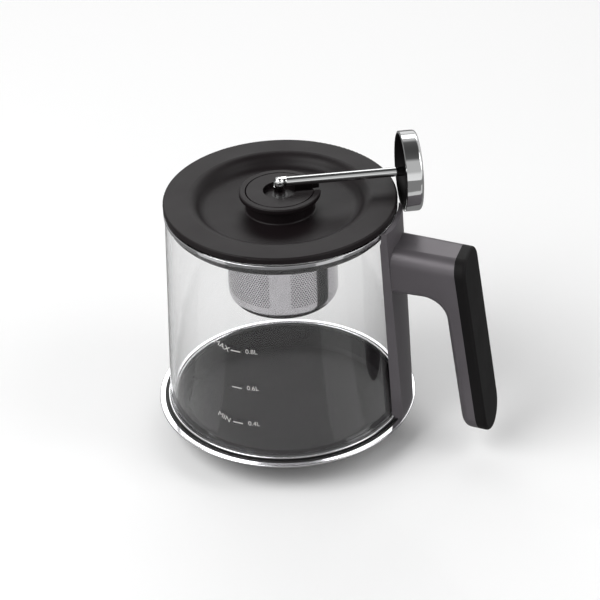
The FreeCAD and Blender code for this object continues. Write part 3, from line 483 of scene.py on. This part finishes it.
@dataclass
class FootTrim:
    """Bright bead and black lip at the glass foot, and the bright band round the glass mouth.

    The size of each ring is its width, height and corner radius.
    """

    shapes: Shapes
    glass: GlassWall
    gap_mm: float = 0.1
    sink_mm: float = 0.4
    bead_mm: tuple[float, float, float] = (0.85, 1.15, 0.4)
    lip_mm: tuple[float, float, float] = (1.65, 0.85, 0.3)
    band_gap_mm: float = 0.05
    band_rise_mm: float = 0.6
    band_mm: tuple[float, float, float] = (0.5, 1.75, 0.24)

    def ring(
        self,
        name: str,
        inner_r: float,
        low_z: float,
        size: tuple[float, float, float],
        finish: Finish,
        slot: str,
    ) -> bpy.types.Object:
        """Turn one ring with rounded corners.

        Args:
            name: Name of the ring.
            inner_r: Inner radius in millimetres.
            low_z: Height of its underside in millimetres.
            size: Width, height and corner radius in millimetres.
            finish: What its surface is.
            slot: Material slot of the record.

        Returns:
            The ring.
        """
        width, height, soft = size
        outline = rounded_box(inner_r, inner_r + width, low_z, low_z + height, soft)
        return self.shapes.lathe(name, outline, Matrix.Identity(4), "jug", finish, slot)

    def build(self) -> None:
        """Turn the three rings from the glass outwards."""
        ring_top = tenth_mm(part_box("base_ring")[1].z)
        bead_r = self.glass.foot_r + self.gap_mm
        bead_z = self.glass.low_z - self.sink_mm
        self.ring("foot_bead", bead_r, bead_z, self.bead_mm, RING_STEEL, "bright_chrome")
        lip_r = bead_r + self.bead_mm[0] + self.gap_mm
        self.ring("foot_lip", lip_r, ring_top - self.sink_mm, self.lip_mm, RUBBER, "seal_rubber")
        band_r = self.glass.top_r + self.band_gap_mm
        band_z = self.glass.top_z + self.band_rise_mm
        self.ring("mouth_band", band_r, band_z, self.band_mm, RING_STEEL, "bright_chrome")


@dataclass
class KnobShadeLining:
    """Black film on the inside of the knob's cup, painted shade that keeps the hollow dark, with the cup's rolled
    inner corner.

    Heights of the outline run out along the lever, from the pivot.
    """

    shapes: Shapes
    face_mm: float = 56.2
    back_mm: float = 63.2
    wall_mm: float = 1.0
    hub_r_mm: float = 4.3
    corner_mm: float = 1.2
    mouth_gap_mm: float = 0.5
    film_mm: float = 0.06
    clearance_mm: float = 0.03

    def layer(self, cup_r: float, depth: float) -> np.ndarray:
        """One side of the film, from the cup's mouth round the corner to the hub.

        A corner point is the corner's middle plus (corner - depth) (cos a, sin a), with a over a
        quarter turn.

        Args:
            cup_r: Inner radius of the cup in millimetres.
            depth: How far off the metal, in millimetres.

        Returns:
            Points of radius and height.
        """
        bend = np.radians(np.linspace(0.0, 90.0, 8))
        soft = self.corner_mm - depth
        mouth = [[cup_r - depth, self.face_mm + self.mouth_gap_mm]]
        middle = np.array([cup_r, self.back_mm]) - self.corner_mm
        corner = middle + soft * np.column_stack((np.cos(bend), np.sin(bend)))
        return np.vstack((mouth, corner, [[self.hub_r_mm, self.back_mm - depth]]))

    def build(self) -> bpy.types.Object:
        """Lay the black film of painted shade in the cup.

        Returns:
            The lining.
        """
        fold = next(joint for joint in frame["joints"] if joint["name"] == "lever_fold")
        low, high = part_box("knob_cup")
        cup_r = (tenth_mm(high.z) - tenth_mm(low.z)) / 2 - self.wall_mm
        film = np.vstack((self.layer(cup_r, 0.0), self.layer(cup_r, self.film_mm)[::-1]))
        azimuth = math.atan2(fold["axis"][0], -fold["axis"][1])
        along = Matrix.Rotation(azimuth, 4, "Z") @ Matrix.Rotation(math.pi / 2, 4, "Y")
        stand = Matrix.Translation(fold["pos_m"]) @ along
        outline = film - self.clearance_mm
        # Black film in the cup: painted shade that keeps the knob's hollow dark.
        return self.shapes.lathe("knob_shade_lining", outline, stand, "lever", CUP_PAINTED_SHADE, "black_plastic")


@dataclass
class LevelMarks:
    """Volume lines and words printed on the outside of the glass."""

    shapes: Shapes
    glass: GlassWall
    heights_mm: tuple[float, ...] = (73.8, 54.0, 34.4)
    volumes: tuple[str, ...] = ("0.8L", "0.6L", "0.4L")
    words: tuple[str, ...] = ("MAX", "", "MIN")
    word_az: float = -102.6
    dash_az: float = -95.2
    volume_az: float = -87.2
    word_lift_mm: float = 1.1
    word_slant_deg: float = -20.0
    volume_lift_mm: float = 0.9
    volume_slant_deg: float = 4.0
    word_mm: float = 2.8
    volume_mm: float = 2.4
    dash_mm: tuple[float, float] = (4.8, 0.55)
    dash_steps: int = 12
    film_mm: float = 0.04
    font_per_letter: float = 1.4

    def wrap(self, flat: np.ndarray, azimuth: float, height_mm: float) -> np.ndarray:
        """Lay flat points on the glass cone.

        A point (x, y, t) goes to azimuth a + x / r, height h + y and radius r(z) + t.

        Args:
            flat: Points in millimetres, with t as the height above the glass.
            azimuth: Azimuth of the flat origin in degrees.
            height_mm: Height of the flat origin.

        Returns:
            Points in metres.
        """
        z = height_mm + flat[:, 1]
        wall = self.glass.radius(z)
        turn = math.radians(azimuth) + flat[:, 0] / wall
        radius = wall + flat[:, 2]
        return MM * np.column_stack((radius * np.cos(turn), radius * np.sin(turn), z))

    def lettering(self, text: str, size: float, slant: float, lift: float) -> tuple[np.ndarray, list]:
        """Flat mesh of a printed word, centred on the origin.

        Args:
            text: The word.
            size: Letter height in millimetres.
            slant: Turn of the whole word in degrees.
            lift: How far the word stands above the line.

        Returns:
            Points in millimetres and faces.
        """
        curve = bpy.data.curves.new("word", "FONT")
        curve.body = text
        curve.align_x = "CENTER"
        curve.align_y = "CENTER"
        curve.size = size * self.font_per_letter
        curve.extrude = self.film_mm / 2
        curve.resolution_u = 4
        maker = bpy.data.objects.new("word", curve)
        bpy.context.scene.collection.objects.link(maker)
        mesh = maker.to_mesh()
        points = np.empty(len(mesh.vertices) * 3)
        mesh.vertices.foreach_get("co", points)
        faces = [tuple(p.vertices) for p in mesh.polygons]
        bpy.data.objects.remove(maker)
        bpy.data.curves.remove(curve)
        flat = points.reshape(-1, 3)
        spin = math.radians(slant)
        x, y = flat[:, 0].copy(), flat[:, 1].copy()
        flat[:, 0] = x * math.cos(spin) - y * math.sin(spin)
        flat[:, 1] = x * math.sin(spin) + y * math.cos(spin) + lift
        flat[:, 2] += self.film_mm / 2
        return flat, faces

    def dash(self) -> tuple[np.ndarray, list]:
        """Flat bar of the volume line, cut into steps so that it bends with the glass.

        Returns:
            Points in millimetres and faces.
        """
        steps = self.dash_steps
        x = np.linspace(-0.5, 0.5, steps + 1) * self.dash_mm[0]
        y = np.array([-0.5, 0.5, 0.5, -0.5]) * self.dash_mm[1]
        t = np.array([0.0, 0.0, 1.0, 1.0]) * self.film_mm
        flat = np.column_stack((np.repeat(x, 4), np.tile(y, steps + 1), np.tile(t, steps + 1)))
        k, c = np.meshgrid(np.arange(steps), np.arange(4), indexing="ij")
        a, b = 4 * k + c, 4 * k + (c + 1) % 4
        sides = np.stack((a, b, b + 4, a + 4), axis=-1).reshape(-1, 4)
        return flat, sides.tolist() + [(3, 2, 1, 0), tuple(4 * steps + c for c in range(4))]

    def build(self) -> bpy.types.Object:
        """Print all the marks as one piece.

        Returns:
            The marks.
        """
        points, faces, count = [], [], 0
        for height, volume, word in zip(self.heights_mm, self.volumes, self.words):
            number = self.lettering(volume, self.volume_mm, self.volume_slant_deg, self.volume_lift_mm)
            parts = [(self.dash(), self.dash_az), (number, self.volume_az)]
            if word:
                letters = self.lettering(word, self.word_mm, self.word_slant_deg, self.word_lift_mm)
                parts.append((letters, self.word_az))
            for (flat, loops), azimuth in parts:
                points.append(self.wrap(flat, azimuth, height))
                faces += [tuple(count + c for c in loop) for loop in loops]
                count += len(flat)
        return self.shapes.piece("level_marks", np.vstack(points), faces, "jug", INK, "glass", smooth=False)


@dataclass
class Basket:
    """Deep-drawn basket with finely perforated wall panels and a perforated floor.

    The outline runs from the middle of the floor through the foot corner up the wall. v is the
    length along it, and the inner side lies one sheet thickness behind the outer side.
    """

    shapes: Shapes
    sheet_mm: float = 0.8
    corner_mm: float = 6.0
    corner_rings: int = 9
    columns: int = 132
    panel_rise_mm: float = 8.0
    panel_drop_mm: float = 4.1
    hole_mm: float = 0.38
    panels_deg: tuple[tuple[float, float], ...] = ((-150.0, -85.5), (-63.5, -35.0), (30.0, 145.0))
    floor_columns: int = 33
    floor_from_mm: float = 4.6
    floor_to_mm: float = 18.4
    floor_rows: int = 8
    floor_hole_mm: float = 0.5
    largest_share: float = 0.33
    radius_mm: float = field(init=False)
    foot_z_mm: float = field(init=False)
    top_z_mm: float = field(init=False)

    def __post_init__(self) -> None:
        """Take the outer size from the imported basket, and start with no points."""
        low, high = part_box("basket_shell")
        self.radius_mm = tenth_mm(high.x)
        self.foot_z_mm, self.top_z_mm = tenth_mm(low.z), tenth_mm(high.z)
        self.points: list[np.ndarray] = []
        self.faces: list[tuple[int, ...]] = []
        self.count = 0

    def outline(self, v: np.ndarray, depth: float) -> tuple[np.ndarray, np.ndarray]:
        """Radius and height of the outline, a depth behind its outer side.

        On the floor r = v. In the corner the angle is a = (v - flat) / corner, with
        r = flat + (corner - depth) sin a and z = foot + corner - (corner - depth) cos a.
        Up the wall r is constant and z grows with v.

        Args:
            v: Length along the outer side in millimetres.
            depth: How far behind the outer side.

        Returns:
            Radius and height in millimetres.
        """
        flat = self.radius_mm - self.corner_mm
        angle = np.clip((v - flat) / self.corner_mm, 0.0, math.pi / 2)
        climb = np.maximum(v - flat - self.corner_mm * math.pi / 2, 0.0)
        r = np.minimum(v, flat) + (self.corner_mm - depth) * np.sin(angle)
        z = self.foot_z_mm + self.corner_mm - (self.corner_mm - depth) * np.cos(angle) + climb
        return r, z

    def place(self, turn: np.ndarray, v: np.ndarray, depth: float) -> np.ndarray:
        """Points on the sheet.

        Args:
            turn: Azimuth in radians.
            v: Length along the outline in millimetres.
            depth: How far behind the outer side.

        Returns:
            Points in metres, one row each.
        """
        r, z = self.outline(v, depth)
        return MM * np.stack((r * np.cos(turn), r * np.sin(turn), z + 0 * turn), axis=-1).reshape(-1, 3)

    def add(self, points: np.ndarray) -> int:
        """Keep points and say where they start.

        Args:
            points: New points.

        Returns:
            Number of the first one.
        """
        start = self.count
        self.points.append(points)
        self.count += len(points)
        return start

    def ring(self, columns: int, v: float, depth: float) -> np.ndarray:
        """One closed line of points round the axis, two for each column.

        Args:
            columns: Hole columns round the axis.
            v: Length along the outline.
            depth: How far behind the outer side.

        Returns:
            Point numbers.
        """
        turn = np.arange(2 * columns) * math.pi / columns
        return self.add(self.place(turn, np.full(2 * columns, v), depth)) + np.arange(2 * columns)

    def skin(self, low: np.ndarray, high: np.ndarray, outer: bool) -> None:
        """Close the strip between two rings of the same count.

        Args:
            low: Ring nearer the floor's middle.
            high: Ring further along the outline.
            outer: True for the outer side.
        """
        loops = np.stack((low, np.roll(low, -1), np.roll(high, -1), high), axis=-1)
        self.faces += [tuple(row) for row in (loops if outer else loops[:, ::-1]).tolist()]

    def panel(
        self, columns: int, lines: np.ndarray, hole: float, holed: Callable[[np.ndarray], np.ndarray]
    ) -> tuple[np.ndarray, np.ndarray, np.ndarray, np.ndarray]:
        """Staggered rows of six-sided holes right through the sheet.

        Cell (i, j) has its middle at azimuth (2 i + j mod 2) pi / columns. Its rim is the hexagon of
        its three points on the line below and the three on the line above.

        Args:
            columns: Holes in a full row.
            lines: Lengths along the outline between the rows.
            hole: Hole radius in millimetres.
            holed: Says for azimuths in degrees which cells have a hole.

        Returns:
            First and last ring, outer and inner.
        """
        outer = [self.ring(columns, v, 0.0) for v in lines]
        inner = [self.ring(columns, v, self.sheet_mm) for v in lines]
        corner = np.radians([210.0, 270.0, 330.0, 30.0, 90.0, 150.0])
        for j in range(len(lines) - 1):
            k = 2 * np.arange(columns) + j % 2
            turn = k * math.pi / columns
            open_here = holed(np.degrees(turn))
            rims = [
                np.stack([side[j][(k + step) % (2 * columns)] for step in (-1, 0, 1)]
                         + [side[j + 1][(k + step) % (2 * columns)] for step in (1, 0, -1)], axis=-1)
                for side in (outer, inner)
            ]
            for rim, flip in zip(rims, (1, -1)):
                plain = rim[~open_here]
                halves = np.vstack((plain[:, [0, 1, 4, 5]], plain[:, [1, 2, 3, 4]]))
                self.faces += [tuple(row) for row in halves[:, ::flip].tolist()]
            middle = (lines[j] + lines[j + 1]) / 2
            reach, _ = self.outline(np.array([middle]), 0.0)
            size = min(hole, self.largest_share * 2 * math.pi * reach[0] / columns)
            around = turn[open_here, None] + size * np.cos(corner)[None, :] / reach[0]
            along = middle + size * np.sin(corner)[None, :] + 0 * around
            edge = [
                self.add(self.place(around, along, depth)) + np.arange(6 * open_here.sum()).reshape(-1, 6)
                for depth in (0.0, self.sheet_mm)
            ]
            for side, flip in ((0, 1), (1, -1)):
                rim = rims[side][open_here]
                web = np.stack((rim, np.roll(rim, -1, 1), np.roll(edge[side], -1, 1), edge[side]), axis=-1)
                self.faces += [tuple(row) for row in web.reshape(-1, 4)[:, ::flip].tolist()]
            bore = np.stack((edge[0], np.roll(edge[0], -1, 1), np.roll(edge[1], -1, 1), edge[1]), axis=-1)
            self.faces += [tuple(row) for row in bore.reshape(-1, 4).tolist()]
        return outer[0], outer[-1], inner[0], inner[-1]

    def on_panel(self, azimuth: np.ndarray) -> np.ndarray:
        """True where a wall panel is perforated.

        Args:
            azimuth: Azimuths in degrees.

        Returns:
            One truth value each.
        """
        turned = (azimuth + 180.0) % 360.0 - 180.0
        return np.any([(turned > low) & (turned < high) for low, high in self.panels_deg], axis=0)

    def strips(
        self, start: tuple[np.ndarray, np.ndarray], lengths: np.ndarray
    ) -> tuple[np.ndarray, np.ndarray]:
        """Carry both sides on from two rings of the wall through more rings.

        Args:
            start: Outer and inner ring to start from.
            lengths: Lengths along the outline of the new rings.

        Returns:
            Last outer and inner ring.
        """
        out, back = start
        for v in lengths:
            new_out, new_back = (self.ring(self.columns, v, depth) for depth in (0.0, self.sheet_mm))
            self.skin(out, new_out, True)
            self.skin(back, new_back, False)
            out, back = new_out, new_back
        return out, back

    def floor(self, flat: float) -> tuple[np.ndarray, np.ndarray]:
        """Perforated floor, and the step from its few points round the axis to the many of the wall.

        Args:
            flat: Radius at which the floor ends and the corner starts.

        Returns:
            Outer and inner ring with the wall's number of points.
        """
        lines = np.linspace(self.floor_from_mm, self.floor_to_mm, self.floor_rows + 1)
        near_out, far_out, near_in, far_in = self.panel(
            self.floor_columns, lines, self.floor_hole_mm, lambda a: np.ones(len(a), bool)
        )
        self.faces += [tuple(near_out[::-1].tolist()), tuple(near_in.tolist())]
        step = self.columns // self.floor_columns
        between = (self.floor_to_mm + flat) / 2
        edge_out, edge_in = (self.ring(self.columns, between, depth) for depth in (0.0, self.sheet_mm))
        k = np.arange(2 * self.floor_columns)
        for coarse, fine, flip in ((far_out, edge_out, 1), (far_in, edge_in, -1)):
            arc = fine[(step * (k[:, None] + 1) - np.arange(step + 1)) % len(fine)]
            loops = np.column_stack((coarse, np.roll(coarse, -1), arc))
            self.faces += [tuple(row) for row in loops[:, ::flip].tolist()]
        return edge_out, edge_in

    def build(self) -> bpy.types.Object:
        """Make the whole basket from the floor's middle to the rim.

        Returns:
            The basket.
        """
        flat = self.radius_mm - self.corner_mm
        wall_from = flat + self.corner_mm * math.pi / 2
        to_v = wall_from - self.foot_z_mm - self.corner_mm
        panel_from = self.foot_z_mm + self.panel_rise_mm + to_v
        panel_to = self.top_z_mm - self.panel_drop_mm + to_v
        corner = np.linspace(flat, wall_from, self.corner_rings)
        out, back = self.strips(self.floor(flat), np.append(corner, (wall_from + panel_from) / 2))
        pitch = 2 * math.pi * self.radius_mm / self.columns
        rows = round((panel_to - panel_from) / (pitch * math.sin(math.pi / 3)))
        lines = np.linspace(panel_from, panel_to, rows + 1)
        near_out, far_out, near_in, far_in = self.panel(self.columns, lines, self.hole_mm, self.on_panel)
        self.skin(out, near_out, True)
        self.skin(back, near_in, False)
        out, back = self.strips((far_out, far_in), np.array([self.top_z_mm + to_v]))
        self.skin(out, back, True)
        basket = self.shapes.piece(
            "perforated_basket", np.vstack(self.points), self.faces, "basket", BASKET_STEEL, "basket_steel"
        )
        basket.data.set_sharp_from_angle(angle=math.radians(40.0))
        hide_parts("basket_shell")
        return basket


@dataclass(frozen=True)
class Softbox:
    """One rectangular lamp that looks at the jug, with its azimuth counted from the camera's side."""

    name: str
    azimuth_deg: float
    rise_deg: float
    reach: float
    size: tuple[float, float]
    watts: float


@dataclass(frozen=True)
class Card:
    """One white card on the floor that only reflections see, to draw a light band on bright metal."""

    name: str
    azimuth_deg: float
    width_deg: float


@dataclass
class Studio:
    """Camera, floor, soft lamps and white surroundings.

    The camera looks at the axis at target_z and is then turned by yaw, pitch and roll. room lists
    greys by the sine of the height angle: 0 is the horizon and all below it.
    """

    elevation: float = 33.13
    distance: float = 1.0
    target_z: float = 0.071
    roll: float = -2.32
    yaw: float = 0.43
    pitch: float = -0.18
    lens: float = 126.58
    floor_colour: str = "#fcfcfc"
    floor_half: float = 3.0
    card_reach: tuple[float, float] = (0.09, 0.6)
    card_lift: float = 0.0005
    card_glow: float = 0.6
    lamp_aim: float = 0.07
    lamps: tuple[Softbox, ...] = (
        Softbox("key", -60.0, 50.0, 1.3, (1.0, 0.8), 11.0),
        Softbox("fill", 70.0, 40.0, 1.4, (0.6, 1.0), 4.0),
        Softbox("back", 175.0, 38.0, 1.5, (1.4, 0.5), 5.0),
    )
    cards: tuple[Card, ...] = (Card("card_left", -66.0, 30.0), Card("card_right", 42.0, 26.0))
    room: tuple[tuple[float, float], ...] = (
        (0.0, 0.22), (0.02, 0.85), (0.3, 0.8), (0.42, 0.5), (0.8, 0.5), (0.88, 0.1), (1.0, 0.06)
    )

    def camera(self) -> bpy.types.Object:
        """Stand the camera where the photo was taken.

        Returns:
            The camera.
        """
        rise = math.radians(self.elevation)
        back = Vector((0.0, -math.cos(rise), math.sin(rise)))
        right = Vector((1.0, 0.0, 0.0))
        up = right.cross(-back)
        yaw, pitch, roll = (math.radians(a) for a in (self.yaw, self.pitch, self.roll))
        ahead = -back * math.cos(yaw) + right * math.sin(yaw)
        side = ahead.cross(up).normalized()
        gaze = ahead * math.cos(pitch) + up * math.sin(pitch)
        top = side.cross(gaze)
        x_axis = side * math.cos(roll) + top * math.sin(roll)
        y_axis = top * math.cos(roll) - side * math.sin(roll)
        place = Matrix((x_axis, y_axis, -gaze)).transposed().to_4x4()
        place.translation = back * self.distance + Vector((0.0, 0.0, self.target_z))
        camera = bpy.data.objects.new("camera", bpy.data.cameras.new("camera"))
        camera.data.lens = self.lens
        camera.data.sensor_width = 36.0
        camera.data.clip_start, camera.data.clip_end = 0.05, 20.0
        camera.matrix_world = Matrix.Rotation(math.radians(CAMERA_TURN), 4, "Z") @ place
        bpy.context.scene.collection.objects.link(camera)
        bpy.context.scene.camera = camera
        return camera

    def floor(self) -> bpy.types.Object:
        """Lay a plain pale floor.

        Returns:
            The floor.
        """
        mesh = bpy.data.meshes.new("floor")
        corners = self.floor_half * np.array([(-1, -1, 0), (1, -1, 0), (1, 1, 0), (-1, 1, 0)])
        mesh.from_pydata(corners.tolist(), [], [(0, 1, 2, 3)])
        paper = bpy.data.materials.new("floor_paper")
        tree = Tree(paper)
        matt = tree.add("BsdfPrincipled", Base_Color=linear(self.floor_colour), Roughness=0.9)
        tree.add("OutputMaterial", Surface=matt.outputs[0])
        mesh.materials.append(paper)
        floor = bpy.data.objects.new("floor", mesh)
        floor.visible_glossy = False
        bpy.context.scene.collection.objects.link(floor)
        return floor

    def lamp(self, box: Softbox) -> None:
        """Hang one softbox that looks at the jug.

        Args:
            box: The softbox.
        """
        data = bpy.data.lights.new(box.name, "AREA")
        data.shape = "RECTANGLE"
        data.size, data.size_y = box.size
        data.energy = box.watts
        lamp = bpy.data.objects.new(box.name, data)
        turn, up = math.radians(box.azimuth_deg + CAMERA_TURN), math.radians(box.rise_deg)
        away = Vector((math.sin(turn) * math.cos(up), -math.cos(turn) * math.cos(up), math.sin(up)))
        lamp.location = away * box.reach + Vector((0.0, 0.0, self.lamp_aim))
        lamp.rotation_mode = "QUATERNION"
        lamp.rotation_quaternion = away.to_track_quat("Z", "Y")
        bpy.context.scene.collection.objects.link(lamp)

    def lay(self, card: Card) -> None:
        """Lay one card on the floor.

        Args:
            card: The card.
        """
        near, far = self.card_reach
        spread = np.array([-0.5, 0.5, 0.5, -0.5]) * card.width_deg
        turn = np.radians(card.azimuth_deg + CAMERA_TURN + spread)
        reach = np.array([near, near, far, far])
        corners = np.column_stack((reach * np.sin(turn), -reach * np.cos(turn), np.full(4, self.card_lift)))
        mesh = bpy.data.meshes.new(card.name)
        mesh.from_pydata(corners.tolist(), [], [(0, 1, 2, 3)])
        glow = bpy.data.materials.new(card.name)
        tree = Tree(glow)
        light = tree.add("Emission", Color=(1.0, 1.0, 1.0, 1.0), Strength=self.card_glow)
        tree.add("OutputMaterial", Surface=light.outputs[0])
        mesh.materials.append(glow)
        sheet = bpy.data.objects.new(card.name, mesh)
        sheet.visible_camera = False
        sheet.visible_diffuse = False
        sheet.visible_transmission = False
        sheet.visible_shadow = False
        bpy.context.scene.collection.objects.link(sheet)

    def world(self) -> None:
        """White surroundings for the camera and through glass, a graded room for light and reflections."""
        world = bpy.data.worlds.new("studio")
        tree = Tree(world)
        path = tree.add("LightPath")
        clear = tree.add(
            "Math",
            {"operation": "MAXIMUM"},
            in0=path.outputs["Is Camera Ray"],
            in1=path.outputs["Is Transmission Ray"],
        )
        height = tree.add("SeparateXYZ", Vector=tree.add("TexCoord").outputs["Generated"]).outputs["Z"]
        ramp = tree.add("ValToRGB", Fac=height)
        ramp.color_ramp.elements.remove(ramp.color_ramp.elements[1])
        for k, (place, grey) in enumerate(self.room):
            element = ramp.color_ramp.elements.new(place) if k else ramp.color_ramp.elements[0]
            element.color = (grey, grey, grey, 1.0)
        room = tree.add("Background", Color=ramp.outputs[0], Strength=1.0)
        white = tree.add("Background", Color=(1.0, 1.0, 1.0, 1.0), Strength=1.0)
        mix = tree.add("MixShader", in0=clear.outputs[0], in1=room.outputs[0], in2=white.outputs[0])
        tree.add("OutputWorld", Surface=mix.outputs[0])
        bpy.context.scene.world = world

    def build(self) -> None:
        """Set up the whole studio."""
        self.camera()
        self.floor()
        for box in self.lamps:
            self.lamp(box)
        for card in self.cards:
            self.lay(card)
        self.world()


def carry_over(finisher: Finisher) -> None:
    """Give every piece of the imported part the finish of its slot.

    Args:
        finisher: Source of the materials.
    """
    slots = {row["node"]: row["material_slot"] for row in frame["record"]["subparts"]}
    for name, node in frame["nodes"].items():
        finish = NODE_FINISH.get(name, SLOT_FINISH[slots[name]])
        node.data.materials.clear()
        node.data.materials.append(finisher.material(finish))
        log.info("%s: %s", name, finish.name)


def main() -> None:
    """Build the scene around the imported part."""
    logging.basicConfig(level=logging.INFO, format="%(name)s %(message)s")
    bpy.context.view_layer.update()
    finisher = Finisher()
    carry_over(finisher)
    shapes = Shapes(finisher)
    glass = GlassWall.of_frame()
    LevelMarks(shapes, glass).build()
    Basket(shapes).build()
    FootTrim(shapes, glass).build()
    KnobShadeLining(shapes).build()
    Studio().build()
    bpy.context.scene.view_settings.view_transform = "Standard"


if __name__ == "__main__":
    main()
